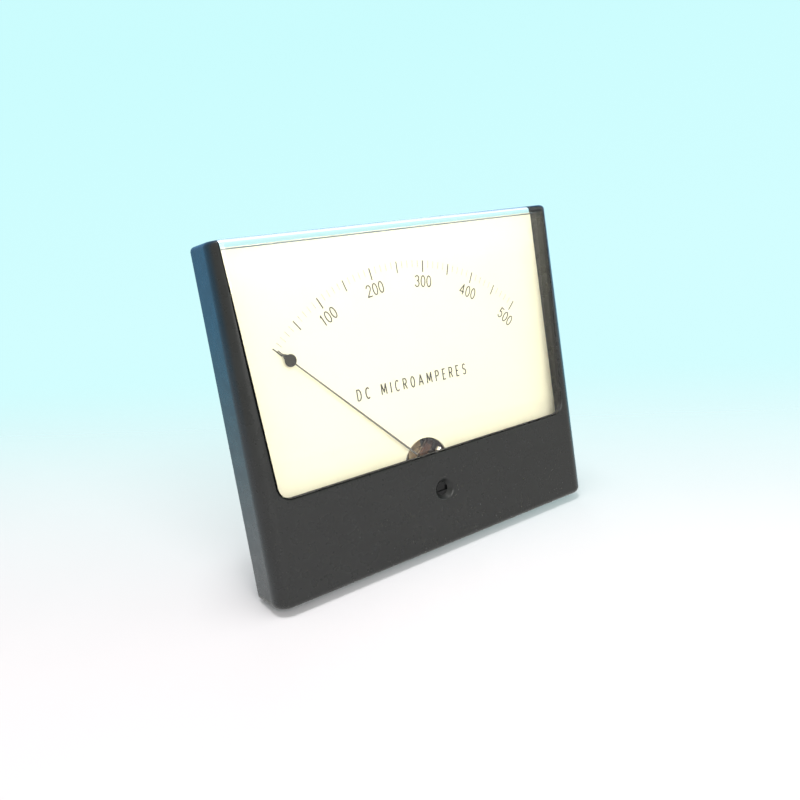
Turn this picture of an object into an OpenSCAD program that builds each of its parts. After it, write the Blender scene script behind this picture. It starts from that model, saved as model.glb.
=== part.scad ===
// Rectangular wide-view panel meter, 0 to 500 scale, pivot-and-jewel moving-coil movement.
// Origin: axis of the rear barrel, on the rear face of the bezel, where it meets the panel.
// +X to the right of the dial, +Y into the panel, +Z up.

/* [Front cover] */
// Width of the front
front_w = 118.4; // [108:0.1:130]
// Height of the front
front_h = 99; // [92:0.1:110]
// Depth of the front cover, panel to crest of the front
bezel_d = 14; // [13:0.1:18]
// Side and bottom wall of the cover
cover_wall = 2; // [1.6:0.1:2.4]
// Front wall of the cover
front_wall = 2.5; // [2:0.1:2.6]
// Rounding from the front into the two side faces
side_round = 4.5; // [3:0.5:7]
// Rounding of the edge that runs round the bottom face
bottom_round = 2; // [1:0.5:2.5]
// Rounding of the edge that runs round the top face
top_round = 1.5; // [0.5:0.5:2]
// Height of the solid lower panel below the window
panel_h = 29.6; // [27:0.1:31]
// Height of the window's lower edge above the pointer's pivot
lip_rise = 4.6; // [4.6:0.1:6]
// Width of a side rail at the top of the window
rail_top = 2.6; // [2.5:0.1:4]
// Width of a side rail at the bottom of the window
rail_bottom = 6; // [4:0.1:8]
// Corner radius at the bottom of the window
window_r = 4; // [2:0.5:8]
// Rounding of the window's edge
lip_round = 0.9; // [0.4:0.1:1.2]

/* [Window] */
// Thickness of the clear wall over the top of the dial
top_wall = 2; // [1.6:0.1:2.5]
// Width of the clear flange behind the cover's front wall
pane_flange_w = 2; // [1.5:0.1:3]
// Thickness of that flange
pane_flange_t = 1; // [0.8:0.1:1.5]
// Clearance of the clear moulding in the cover
pane_gap = 0.1; // [0.05:0.05:0.2]

/* [Dial] */
// Depth of the dial's face behind the crest of the front
dial_depth = 8.7; // [8.5:0.1:9.2]
// Thickness of the dial plate
dial_t = 0.8; // [0.6:0.1:1]
// Clearance round the dial plate
dial_gap = 0.2; // [0.1:0.05:0.4]
// Radius of the arch over the pivot
arch_r = 8.2; // [7:0.1:10]
// Half width of the hidden cut-out below the arch
notch_half_w = 16; // [14.5:0.5:20]
// Height of the hidden cut-out's top above the pivot
notch_rise = 1; // [0.5:0.5:1.5]
// How far the dial reaches below the pivot
dial_skirt = 8.5; // [7:0.5:10]
// Half distance between the two dial screws
dial_screw_x = 40; // [39:0.5:44]
// Half distance between the dial's two upper rests
dial_rest_x = 46; // [42:0.5:50]
// Depth of the upper rests below the top
dial_rest_drop = 14; // [11:0.5:20]
// Depth of the dial screws below the pivot
dial_screw_drop = 3; // [1:0.5:5]

/* [Case back] */
// Thickness of the flange that closes the cover
flange_t = 2.5; // [2:0.1:3]
// Clearance of the flange in the cover
flange_gap = 0.15; // [0.1:0.05:0.3]
// Outer radius of the barrel
barrel_r = 35.3; // [33.5:0.1:36]
// Wall of the barrel and of its end
barrel_wall = 2.5; // [2:0.1:3]
// Length of the barrel behind the panel
barrel_len = 28; // [27:0.5:36]
// Radius of the case screws' shanks
case_screw_r = 1.2; // [1:0.1:1.4]
// Inset of the case screws from the front's sides
case_screw_inset = 6; // [5.5:0.1:8]

/* [Mounting studs] */
// Distance of the mounting studs from the front's sides
stud_inset = 14.75; // [13:0.05:17]
// Distance between mounting studs along Z
stud_dz = 63.5; // [58:0.1:66]
// Radius of a mounting stud
stud_r = 2.08; // [1.7:0.01:2.4]
// Length of a mounting stud behind the panel face
stud_len = 16; // [10:0.5:20]
// Radius of a mounting stud's embedded head
stud_head_r = 3.4; // [3:0.1:4]
// Thickness of that head
stud_head_t = 1.2; // [1:0.1:1.4]
// Radius of the knurled shank between the head and the panel face
stud_shank_r = 2.4; // [2.3:0.05:2.8]

/* [Terminals] */
// Distance between the terminals
terminal_dx = 26; // [22:1:34]
// Height of the terminals above the barrel's axis
terminal_z = 12; // [9:0.5:16]
// Radius of a terminal stud
terminal_r = 2.4; // [2:0.1:2.6]
// Length of a terminal stud behind the barrel
terminal_len = 15; // [12:0.5:20]
// Nut size across flats
terminal_nut_af = 8.5; // [8:0.1:9.5]
// Thickness of a terminal nut
terminal_nut_t = 3.2; // [2.5:0.1:4]
// Radius of a terminal washer
washer_r = 4.8; // [4.2:0.1:6]
// Thickness of a terminal washer
washer_t = 0.8; // [0.6:0.1:1.2]
// Thickness of a solder lug
lug_t = 0.6; // [0.4:0.1:0.8]

/* [Zero adjuster] */
// Distance of the adjuster below the pointer's pivot
adjuster_drop = 7.2; // [6.8:0.1:9]
// Radius of the recess that holds the screw's head
recess_r = 3.5; // [3.2:0.1:4]
// Radius of the chamfered rim of that recess
rim_r = 4.35; // [4.1:0.05:4.8]
// Depth of the screw's face below the crest of the front
head_sink = 1.5; // [1:0.1:1.5]
// Thickness of the screw's head
head_t = 0.9; // [0.8:0.1:1.3]
// Clearance round the screw's head
head_gap = 0.15; // [0.1:0.05:0.3]
// Radius of the screw's shank
shank_r = 1.6; // [1.4:0.1:1.8]
// Running clearance of the shank
shank_gap = 0.06; // [0.04:0.01:0.1]
// Width of the screwdriver slot
slot_w = 1.6; // [0.6:0.1:1.8]
// Depth of the screwdriver slot
slot_d = 0.6; // [0.4:0.1:0.9]
// Throw of the eccentric pin
pin_throw = 0.6; // [0.4:0.05:0.8]
// Radius of the eccentric pin
pin_r = 0.4; // [0.3:0.05:0.5]
// Clearance of the pin in the lever's fork
fork_gap = 0.1; // [0.06:0.01:0.15]

/* [Movement] */
// Distance of the pointer's pivot below the barrel's axis
pivot_drop = 14.5; // [12:0.5:16]
// Radius of the magnet core
core_r = 7.5; // [7:0.1:7.6]
// Length of the magnet core and of the yoke round it
core_len = 11; // [10:0.5:11.5]
// Distance of the core's front end behind the panel face
core_y = 1.5; // [1.2:0.1:2]
// Inner radius of the yoke ring
yoke_in_r = 9.6; // [9.5:0.1:10]
// Outer radius of the yoke ring
yoke_out_r = 14; // [13.6:0.1:14.5]
// Thickness of the two brass straps that hold the core
strap_t = 1; // [0.8:0.1:1.2]
// Width of those straps
strap_w = 5; // [4:0.5:6]
// Half distance between the movement's fixing screws
lug_x = 18.5; // [18.5:0.5:20]
// Thickness of the yoke's lugs
yoke_lug_t = 2; // [1.5:0.1:2.5]
// Radius of the standing pillars
pillar_r = 1.5; // [1.2:0.1:1.6]
// Thickness of the two bridges
bridge_t = 0.8; // [0.6:0.1:0.9]
// Radius of a bridge's boss
bridge_boss_r = 3; // [2.8:0.1:3.2]
// Radius of a jewel screw
jewel_screw_r = 1.25; // [1.1:0.05:1.4]
// Width across the corners of a lock nut
lock_nut_w = 5; // [4.6:0.1:5.2]
// Width of the front bridge's arms
front_arm_w = 5.6; // [5:0.1:6]
// Width of the rear bridge's arms
rear_arm_w = 5; // [4.4:0.1:6]

/* [Moving coil] */
// Gap between the core and the coil former
coil_gap = 0.45; // [0.35:0.05:0.5]
// Thickness of the coil former
former_t = 0.4; // [0.3:0.05:0.5]
// Width of the coil former
former_w = 3; // [2:0.1:3.2]
// Thickness of the winding on the former
winding_t = 0.75; // [0.5:0.05:0.8]
// Width of the winding
winding_w = 2.4; // [1.6:0.1:2.6]
// Radius of the pivot shafts
shaft_r = 0.6; // [0.5:0.05:0.7]
// Radius of the hairspring collars
collar_r = 1.2; // [1.1:0.05:1.3]
// Outer radius of the hairsprings
spring_r = 4; // [3.6:0.1:4.1]
// Turns of each hairspring
spring_turns = 5; // [3:1:6]
// Thickness of the hairspring strip
spring_t = 0.15; // [0.1:0.01:0.2]
// Height of the hairspring strip
spring_h = 0.4; // [0.3:0.05:0.5]

/* [Pointer] */
// Reach of the pointer's tip from the pivot
pointer_len = 61.6; // [55:0.1:63]
// Gap between the pointer and the dial
pointer_gap = 1.5; // [1.2:0.1:1.6]
// Thickness of the pointer
pointer_t = 0.25; // [0.2:0.05:0.3]
// Width of the pointer at its root
pointer_root_w = 0.6; // [0.5:0.05:0.9]
// Width of the pointer at its tip
pointer_tip_w = 0.3; // [0.25:0.05:0.5]
// Radius of the disc near the tip
disc_r = 1.75; // [1.2:0.05:2.2]
// Distance of the disc from the pivot
disc_at = 57; // [50:0.1:58]
// Distance of the disc's point from the disc's centre
disc_point = 3; // [2.4:0.1:3.6]
// Angle of the scale's zero from the vertical
zero_angle = 45; // [40:1:48]
// Thickness of the balance cross
cross_t = 0.4; // [0.3:0.05:0.5]
// Width of the cross's arms
cross_w = 0.8; // [0.6:0.05:1]
// Distance of the side weights' inner ends from the pivot
weight_at = 4.7; // [4.6:0.1:5]
// Length of a balance weight on a side arm
side_weight_len = 1.2; // [0.8:0.1:1.4]
// Distance of the tail weight's inner end from the pivot
tail_weight_at = 8.5; // [8.2:0.1:9]
// Length of the balance weight on the tail
tail_weight_len = 2.75; // [2:0.05:3.4]
// Radius of the balance weights
weight_r = 1.05; // [0.8:0.05:1.1]

/* [Hidden] */
$fn = 48;
eps = 0.01;
far = 300;

// Places in the front view
half_w = front_w / 2;
pivot_z = -pivot_drop;
adjuster_z = pivot_z - adjuster_drop;
lip_z = pivot_z + lip_rise;
bottom_z = lip_z - panel_h;
top_z = bottom_z + front_h;
rail_slope = (rail_bottom - rail_top) / (top_z - lip_z);
stud_x = half_w - stud_inset;

// Depths in the front cover
front_y = -bezel_d;
wall_y = front_y + front_wall;
dial_y = front_y + dial_depth;
dial_back_y = dial_y + dial_t;
barrel_in_r = barrel_r - barrel_wall;
barrel_floor_y = barrel_len - barrel_wall;

// Screws of the case and of the dial
screw_play = 0.05;
stud_play = 0.02;
stud_tip = 0.6;
case_boss_r = 3;
case_head_r = 2.3;
case_head_t = 1.1;
case_low_z = bottom_z + case_screw_inset;
case_high_z = top_z - case_screw_inset;
upper_boss_y = dial_back_y + 0.1;
case_hole_depth = 1.6;
dial_screw_r = 1;
dial_head_r = 1.9;
dial_head_t = 0.9;
dial_hole_depth = 3.2;
dial_boss_r = 2.6;
dial_rest_r = 2;
dial_rest_z = top_z - dial_rest_drop;

// Depths of the zero adjuster
head_y = front_y + head_sink;
shoulder_y = head_y + head_t;
boss_end_y = shoulder_y + 1;
boss_r = recess_r + 0.9;
clip_t = 0.3;
clip_r = 2.9;
shank_end_y = boss_end_y + 0.5;
rim_drop = rim_r - recess_r;

// Depths of the front of the movement
pointer_y = dial_y - pointer_gap - pointer_t;
cross_y = pointer_y - cross_t;
weight_y = cross_y + cross_t / 2;
front_spring_y = cross_y - 0.35 - spring_h;
bridge_rest_y = weight_y - weight_r - 0.25;
front_bridge_y = bridge_rest_y - bridge_t;
lever_t = 0.5;
lever_play = 0.06;
lever_y = front_bridge_y - lever_play - lever_t;
lever_ring_r = 3.4;
front_nut_y = lever_y - lever_play - 0.6;
front_screw_y = front_nut_y - 0.4;
tab_t = 0.5;
tab_w = 1.6;
tab_at = spring_r + 0.05;

// Core, yoke and coil
core_end_y = core_y + core_len;
strap_screw_at = (yoke_in_r + yoke_out_r) / 2;
strap_reach = yoke_out_r - 0.8;
coil_in_x = core_r + coil_gap;
coil_play = 0.5;
coil_in_y = core_y - strap_t - coil_play;
coil_in_end_y = core_end_y + strap_t + coil_play;
winding_y = coil_in_y - former_t - winding_t;
winding_end_y = coil_in_end_y + former_t + winding_t;
former_corner = 1.2;
hub_r = 1.9;
hub_t = 0.85;

// Front pivot and its jewel
jewel_slot_w = 0.3;
jewel_slot_d = 0.5;
jewel_r = 0.8;
jewel_t = 0.7;
cone_d = 0.35;
cone_r = 0.35;
pivot_tip_r = 0.2;
front_jewel_y = front_bridge_y - 0.1;
front_tip_y = front_jewel_y + jewel_t - cone_d + 0.06;
tip_len = 0.7;

// Rear of the movement
rear_spring_y = winding_end_y + hub_t + 0.4;
rear_bridge_y = rear_spring_y + spring_h + 0.8;
rear_jewel_y = rear_bridge_y + bridge_t - jewel_t + 0.1;
rear_tip_y = rear_jewel_y + cone_d - 0.06;
rear_nut_y = rear_bridge_y + bridge_t;
rear_screw_end_y = rear_nut_y + 1.6;
nut_t = 0.7;
small_screw_r = 0.75;
small_head_r = 1.5;
small_head_t = 0.8;
small_hole_depth = 2.4;

// Front pillars stand below the arch, rear pillars at the sides
pillar_at = strap_screw_at;
front_pillar_dip = 17;
front_pillar_x = pillar_at * cos(front_pillar_dip);
front_pillar_z = -pillar_at * sin(front_pillar_dip);

// The cross's arm under the pointer, and its tail
seat_len = 6;
tail_len = tail_weight_at + tail_weight_len + 0.5;

// Pointer stops meet the tail a little past each end of the travel
stop_r = 0.4;
stop_at = 7.2;
stop_margin = 4.2;
stop_offset = asin((stop_r + cross_w / 2) / stop_at);
stop_angle = 180 - zero_angle - stop_margin - stop_offset;

// Movement screws and bosses
move_screw_r = 1.3;
move_head_r = 2.3;
move_head_t = 1.5;
move_boss_r = 3.4;
move_hole_depth = 6;
yoke_lug_y = core_end_y - yoke_lug_t;

// Inner ends of the terminals
terminal_head_t = 2.4;
lug_y = barrel_floor_y - lug_t;
terminal_head_y = lug_y - terminal_head_t;
terminal_head_r = 4.2;
lug_hole_r = terminal_r + 0.1;
lug_tail = 7.5;
lug_tail_w = 3;

// Thread relief just beyond the terminal's nut, and the bevelled end
relief_y = barrel_len + washer_t + terminal_nut_t;
relief_len = 1;
relief_d = 0.25;
terminal_tip = 0.8;

// Routes of the two internal leads, as points from the terminal to the movement
lead_r = 0.45;
lead_sides = 8;
front_lead_route = [
    [terminal_dx / 2 + 6.5, lug_y - 0.6, terminal_z], [terminal_dx / 2 + 8, 21, 10],
    [23, 18, 4], [24.5, 14, -4], [24, 8, -10], [21, 3, -15], [17, 0, -17.5],
    [front_pillar_x + pillar_r + lead_r + 0.1, -0.5, pivot_z + front_pillar_z]
];
rear_lead_route = [
    [-terminal_dx / 2 - 6.5, lug_y - 0.6, terminal_z], [-terminal_dx / 2 - 7, 21.5, 9],
    [-20, 20, 4], [-17, 18, 0.5], [-14, 16.5, -5],
    [-pillar_at, 15.5, pivot_z + pillar_r + lead_r + 0.1]
];

// A flat shape in the front view, thickened from y0 by t towards the back
module slab(y0, t) {
    translate([0, y0 + t, 0]) rotate([90, 0, 0]) linear_extrude(height = t) children();
}

// A round bar along Y from y0, t long
module bar(x, z, y0, t, r) {
    translate([x, y0, z]) rotate([-90, 0, 0]) cylinder(h = t, r = r);
}

// A cone along Y, r1 at y0 and r2 at y0 + t
module taper(x, z, y0, t, r1, r2) {
    translate([x, y0, z]) rotate([-90, 0, 0]) cylinder(h = t, r1 = r1, r2 = r2);
}

// What is drawn about the pivot
module at_pivot() {
    translate([0, 0, pivot_z]) children();
}

// What turns with the pointer, drawn with the pointer upright
module at_zero() {
    at_pivot() rotate([0, -zero_angle, 0]) children();
}

module mirrored() {
    children();
    mirror([1, 0, 0]) children();
}

// Rectangle with its four corners rounded, from its low corner
module rounded_rect(w, h, r) {
    translate([r, 0]) square([w - 2 * r, h]);
    translate([0, r]) square([w, h - 2 * r]);
    for (x = [r, w - r], y = [r, h - r]) translate([x, y]) circle(r = r);
}

// Outside of the whole front: its plan outline, with a rounding round the bottom and the top
module front_envelope() {
    difference() {
        translate([0, 0, bottom_z]) linear_extrude(height = front_h) plan_outline();
        translate([0, 0, bottom_z]) rim_waste(bottom_round);
        translate([0, 0, top_z]) mirror([0, 0, 1]) rim_waste(top_round);
    }
}

// Plan outline with the rounding into the side faces
module plan_outline() {
    translate([-half_w, front_y + side_round]) square([front_w, bezel_d - side_round]);
    translate([side_round - half_w, front_y]) square([front_w - 2 * side_round, bezel_d]);
    for (s = [-1, 1]) translate([s * (half_w - side_round), front_y + side_round])
        circle(r = side_round);
}

// What a rounding of radius r takes from the edge round the foot of the plan outline
module rim_waste(r) {
    flat_x = half_w - side_round;
    flat_y = front_y + side_round;
    translate([-flat_x, front_y, 0]) rotate([90, 0, 90]) linear_extrude(height = 2 * flat_x)
        edge_waste(r);
    mirrored() {
        translate([half_w, 1, 0]) rotate([90, 0, 0]) linear_extrude(height = 1 - flat_y)
            mirror([1, 0]) edge_waste(r);
        translate([flat_x, flat_y, 0]) rotate([0, 0, -90]) rotate_extrude(angle = 90)
            translate([side_round, 0]) mirror([1, 0]) edge_waste(r);
    }
}

// Window opening, open at the top; grow moves its edge outwards
module window_outline(grow) {
    tilt = atan(rail_slope);
    r = window_r + grow;
    low_z = lip_z - grow;
    low_x = half_w - rail_bottom + grow / cos(tilt) - rail_slope * grow;
    arc_x = low_x + rail_slope * r - r / cos(tilt);
    up_z = top_z + 5;
    up_x = low_x + rail_slope * (up_z - low_z);
    side_x = arc_x + r * cos(tilt);
    side_z = low_z + r - r * sin(tilt);
    polygon([
        [-arc_x, low_z], [arc_x, low_z], [side_x, side_z], [up_x, up_z],
        [-up_x, up_z], [-side_x, side_z]
    ]);
    for (s = [-1, 1]) translate([s * arc_x, low_z + r]) circle(r = r);
}

// Section of the material that a rounded edge loses, from the corner inwards
module edge_waste(r) {
    difference() {
        translate([-1, -1]) square(1 + r);
        translate([r, r]) circle(r = r);
    }
}

// The rounding that runs round the window's edge
module lip_waste() {
    tilt = atan(rail_slope);
    low_x = half_w - rail_bottom;
    arc_x = low_x + rail_slope * window_r - window_r / cos(tilt);
    arc_z = lip_z + window_r;
    translate([-arc_x, front_y, lip_z]) rotate([90, 90, 90])
        linear_extrude(height = 2 * arc_x) edge_waste(lip_round);
    mirrored() {
        translate([arc_x, front_y, arc_z]) rotate([-90, 0, 0])
            rotate_extrude(angle = 90 + tilt) translate([window_r, 0]) edge_waste(lip_round);
        translate([low_x, front_y, lip_z]) rotate([0, tilt, 0])
            translate([0, 0, window_r * (1 - sin(tilt))])
            linear_extrude(height = front_h) edge_waste(lip_round);
    }
}

module front_cover() {
    color("#2b2c2d") difference() {
        union() {
            difference() {
                front_envelope();
                // the hollow behind the front wall
                slab(wall_y, far) translate([cover_wall - half_w, bottom_z + cover_wall])
                    square([front_w - 2 * cover_wall, far]);
            }
            case_bosses();
            bar(0, adjuster_z, wall_y - 1, boss_end_y - wall_y + 1, boss_r);
        }
        slab(front_y - 1, front_wall + 1 + eps) window_outline(0);
        lip_waste();
        bar(0, adjuster_z, head_y - 5, head_t + 5, recess_r);
        taper(0, adjuster_z, front_y, rim_drop, rim_r, recess_r);
        bar(0, adjuster_z, shoulder_y - 1, far, shank_r + shank_gap);
        case_screw_places() {
            bar(0, 0, -flange_t - case_hole_depth, far, case_screw_r + screw_play);
        }
    }
}

// Places of the four screws that hold the case back
module case_screw_places() {
    for (s = [-1, 1], z = [case_low_z, case_high_z])
        translate([s * (half_w - case_screw_inset), 0, z]) children();
}

// Bosses of the cover that take those screws
module case_bosses() {
    x = half_w - case_screw_inset;
    for (s = [-1, 1]) {
        bar(s * x, case_low_z, wall_y - 1, -flange_t - wall_y + 1, case_boss_r);
        bar(s * x, case_high_z, upper_boss_y, -flange_t - upper_boss_y, case_boss_r);
        slab(upper_boss_y, -flange_t - upper_boss_y)
            translate([s > 0 ? x : -half_w + cover_wall / 2, case_high_z - case_boss_r])
            square([case_screw_inset - cover_wall / 2, 2 * case_boss_r]);
    }
}

module window() {
    color("#cfe8ec", 0.35) intersection() {
        front_envelope();
        union() {
            slab(front_y - 1, front_wall + 1) window_outline(-pane_gap);
            slab(wall_y, pane_flange_t) intersection() {
                window_outline(pane_flange_w);
                translate([-inner_x(), bottom_z]) square([2 * inner_x(), front_h - top_wall / 2]);
            }
            slab(wall_y, far) translate([-inner_x(), top_z - top_wall])
                square([2 * inner_x(), far]);
        }
    }
}

// Half width of what fits between the cover's side walls
function inner_x() = half_w - cover_wall - pane_gap;

module case_back() {
    x = half_w - cover_wall - flange_gap;
    low = bottom_z + cover_wall + flange_gap;
    high = top_z - top_wall - flange_gap;
    color("#242526") difference() {
        union() {
            slab(-flange_t, flange_t) translate([-x, low]) square([2 * x, high - low]);
            bar(0, 0, -flange_t, barrel_len + flange_t, barrel_r);
            dial_places() bar(0, 0, dial_back_y, -flange_t - dial_back_y + 1, dial_boss_r);
            for (s = [-1, 1])
                bar(s * dial_rest_x, dial_rest_z, dial_back_y, -flange_t - dial_back_y + 1, dial_rest_r);
        }
        difference() {
            bar(0, 0, -flange_t - 1, barrel_floor_y + flange_t + 1, barrel_in_r);
            for (s = [-1, 1]) bar(s * lug_x, pivot_z, core_end_y, far, move_boss_r);
        }
        dial_places() bar(0, 0, dial_back_y - 1, dial_hole_depth + 1, dial_screw_r + screw_play);
        for (s = [-1, 1])
            bar(s * lug_x, pivot_z, core_end_y - 1, move_hole_depth + 1, move_screw_r + screw_play);
        case_screw_places() {
            bar(0, 0, -far / 2, far, case_screw_r + screw_play);
            taper(0, 0, -case_head_t, case_head_t + eps, case_screw_r + screw_play, case_head_r);
        }
        stud_places() {
            bar(0, 0, -flange_t - 1, flange_t + 2, stud_shank_r + stud_play);
            bar(0, 0, -flange_t - 1, stud_head_t + 1, stud_head_r + stud_play);
        }
        terminal_places() bar(0, 0, barrel_floor_y - 1, far, terminal_r + screw_play);
    }
}

module dial_places() {
    for (s = [-1, 1]) translate([s * dial_screw_x, 0, pivot_z - dial_screw_drop]) children();
}

module stud_places() {
    for (x = [-1, 1] * stud_x, z = [-1, 1] * stud_dz / 2) translate([x, 0, z]) children();
}

module terminal_places() {
    for (s = [-1, 1]) translate([s * terminal_dx / 2, 0, terminal_z]) children();
}

// Countersunk screws that join the cover and the case back
module case_screws() {
    color("#8c8f91") case_screw_places() difference() {
        union() {
            bar(0, 0, -flange_t - case_hole_depth + 0.1, flange_t + case_hole_depth - 0.3, case_screw_r);
            taper(0, 0, -case_head_t, case_head_t - 0.05, case_screw_r, case_head_r - screw_play);
        }
        translate([-case_head_r, -0.55, -0.25]) cube([2 * case_head_r, 1, 0.5]);
    }
}

module mounting_studs() {
    color("#a9acae") stud_places() {
        bar(0, 0, -flange_t, stud_head_t, stud_head_r);
        bar(0, 0, -flange_t + stud_head_t - eps, flange_t - stud_head_t + eps, stud_shank_r);
        bar(0, 0, -eps, stud_len - stud_tip + eps, stud_r);
        taper(0, 0, stud_len - stud_tip - eps, stud_tip + eps, stud_r, stud_r - stud_tip + 0.1);
    }
}

module terminal_studs() {
    color("#b59a55") terminal_places() {
        translate([0, terminal_head_y, 0]) rotate([-90, 0, 0])
            cylinder(h = terminal_head_t, r = terminal_head_r, $fn = 6);
        bar(0, 0, lug_y - eps, relief_y - lug_y + 2 * eps, terminal_r);
        bar(0, 0, relief_y, relief_len, terminal_r - relief_d);
        bar(0, 0, relief_y + relief_len, barrel_len + terminal_len - terminal_tip - relief_y - relief_len,
            terminal_r);
        taper(0, 0, barrel_len + terminal_len - terminal_tip - eps, terminal_tip + eps,
            terminal_r, terminal_r - terminal_tip + 0.2);
    }
}

// Ring terminals under the studs' heads, with the tail that takes the lead
module terminal_lugs() {
    color("#c9b26b") for (s = [-1, 1]) translate([s * terminal_dx / 2, 0, terminal_z])
        slab(lug_y, lug_t) difference() {
            union() {
                circle(r = terminal_head_r);
                translate([s > 0 ? 0 : -lug_tail, -lug_tail_w / 2]) square([lug_tail, lug_tail_w]);
            }
            circle(r = lug_hole_r);
        }
}

module terminal_washers() {
    color("#b9bbbd") terminal_places() slab(barrel_len, washer_t) difference() {
        circle(r = washer_r);
        circle(r = terminal_r + 0.15);
    }
}

module terminal_nuts() {
    y = barrel_len + washer_t;
    corner = terminal_nut_af / 2 / cos(30);
    color("#b59a55") terminal_places() difference() {
        intersection() {
            translate([0, y, 0]) rotate([-90, 0, 0])
                cylinder(h = terminal_nut_t, r = corner, $fn = 6);
            taper(0, 0, y, terminal_nut_t, corner + terminal_nut_t, corner - 0.5);
        }
        bar(0, 0, y - 1, terminal_nut_t + 2, terminal_r + screw_play);
    }
}

// Slotted screw with the eccentric pin behind it
module zero_screw() {
    color("#1d1e1f") translate([0, 0, adjuster_z]) {
        difference() {
            bar(0, 0, head_y, head_t, recess_r - head_gap);
            translate([-recess_r, head_y - 1, -slot_w / 2]) cube([2 * recess_r, slot_d + 1, slot_w]);
        }
        bar(0, 0, shoulder_y - eps, shank_end_y - shoulder_y + eps, shank_r);
        bar(0, -pin_throw, shank_end_y - eps, lever_y + lever_t + 0.25 - shank_end_y, pin_r);
    }
}

// Spring clip that holds the screw in the cover
module zero_screw_clip() {
    color("#9fa3a6") translate([0, 0, adjuster_z]) slab(boss_end_y, clip_t) difference() {
        circle(r = clip_r);
        circle(r = shank_r);
        translate([-0.5, -clip_r - 1]) square([1, clip_r]);
    }
}

// Regulator that holds the front hairspring's outer end; its fork rides on the pin
module zero_lever() {
    reach = pivot_z - adjuster_z + pin_throw;
    slot = pin_r + fork_gap;
    color("#cfd2d3") at_pivot() {
        slab(lever_y, lever_t) difference() {
            union() {
                circle(r = lever_ring_r);
                translate([-1, -reach]) square([2, reach]);
                translate([-slot - 0.6, -reach - 1.6]) square([2 * slot + 1.2, 3.2]);
                translate([-tab_w / 2, 0]) square([tab_w, tab_at + tab_t]);
            }
            circle(r = jewel_screw_r + 0.1);
            translate([-slot, -reach - 3]) square([2 * slot, 3 + 1]);
        }
        translate([-tab_w / 2, lever_y, tab_at])
            cube([tab_w, front_spring_y + spring_h - lever_y, tab_t]);
    }
}

module dial_plate() {
    x = half_w - cover_wall - dial_gap;
    low = pivot_z - dial_skirt;
    high = top_z - top_wall - dial_gap;
    color("#fbf7e2") difference() {
        slab(dial_y, dial_t) difference() {
            translate([-x, low]) square([2 * x, high - low]);
            translate([0, pivot_z]) circle(r = arch_r);
            translate([-notch_half_w, low - 1]) square([2 * notch_half_w, dial_skirt + notch_rise + 1]);
        }
        dial_places() bar(0, 0, dial_y - 1, dial_t + 2, dial_screw_r + 0.1);
    }
}

module dial_screws() {
    color("#8c8f91") dial_places() difference() {
        union() {
            bar(0, 0, dial_y - dial_head_t, dial_head_t, dial_head_r);
            bar(0, 0, dial_y - eps, dial_t + dial_hole_depth - 0.3, dial_screw_r);
        }
        translate([-dial_head_r, dial_y - dial_head_t - 1, -0.25])
            cube([2 * dial_head_r, 1.4, 0.5]);
    }
}

module magnet_core() {
    color("#6d6a66") at_pivot() bar(0, 0, core_y, core_len, core_r);
}

// Soft-iron ring round the core, with the two lugs that carry the movement
module yoke_ring() {
    color("#4b4a48") at_pivot() difference() {
        union() {
            bar(0, 0, core_y, core_len, yoke_out_r);
            slab(yoke_lug_y, yoke_lug_t) for (s = [-1, 1]) {
                translate([s > 0 ? 0 : -lug_x, -move_boss_r]) square([lug_x, 2 * move_boss_r]);
                translate([s * lug_x, 0]) circle(r = move_boss_r);
            }
        }
        bar(0, 0, core_y - 1, core_len + 2, yoke_in_r);
        for (s = [-1, 1]) {
            bar(s * lug_x, 0, yoke_lug_y - far, far * 2, move_screw_r + 0.1);
            bar(0, s * strap_screw_at, core_y - 1, small_hole_depth + 1, small_screw_r + screw_play);
            bar(0, s * strap_screw_at, core_end_y - small_hole_depth, far, small_screw_r + screw_play);
        }
    }
}

// One of the brass straps that hold the core in the middle of the yoke
module core_strap(y0) {
    color("#bf9d4f") at_pivot() slab(y0, strap_t) difference() {
        translate([-strap_w / 2, -strap_reach]) square([strap_w, 2 * strap_reach]);
        for (s = [-1, 1]) translate([0, s * strap_screw_at]) circle(r = small_screw_r + 0.1);
    }
}

module front_core_strap() {
    core_strap(core_y - strap_t);
}

module rear_core_strap() {
    core_strap(core_end_y);
}

// A small cheese-head screw along Y, its head in front of y0
module small_screw(y0, grip) {
    difference() {
        union() {
            bar(0, 0, y0 - small_head_t, small_head_t, small_head_r);
            bar(0, 0, y0 - eps, grip + eps, small_screw_r);
        }
        translate([-small_head_r, y0 - small_head_t - 1, -0.2]) cube([2 * small_head_r, 1.35, 0.4]);
    }
}

// The same screw put in from the back
module small_screw_back(y0, grip) {
    translate([0, y0, 0]) mirror([0, 1, 0]) small_screw(0, grip);
}

module strap_screws() {
    grip = strap_t + small_hole_depth - 0.2;
    color("#8c8f91") at_pivot() for (s = [-1, 1]) translate([0, 0, s * strap_screw_at]) {
        small_screw(core_y - strap_t, grip);
        small_screw_back(core_end_y + strap_t, grip);
    }
}

module movement_screws() {
    color("#8c8f91") at_pivot() for (s = [-1, 1]) translate([s * lug_x, 0, 0]) difference() {
        union() {
            bar(0, 0, yoke_lug_y - move_head_t, move_head_t, move_head_r);
            bar(0, 0, yoke_lug_y - eps, yoke_lug_t + move_hole_depth - 0.5, move_screw_r);
        }
        translate([-move_head_r, yoke_lug_y - move_head_t - 1, -0.3])
            cube([2 * move_head_r, 1.7, 0.6]);
    }
}

// A round pillar with a tapped hole in each end that takes a bridge screw
module pillar(x, z, y0, y1, hole_y) {
    difference() {
        bar(x, z, y0, y1 - y0, pillar_r);
        bar(x, z, hole_y, small_hole_depth, small_screw_r + screw_play);
    }
}

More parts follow.
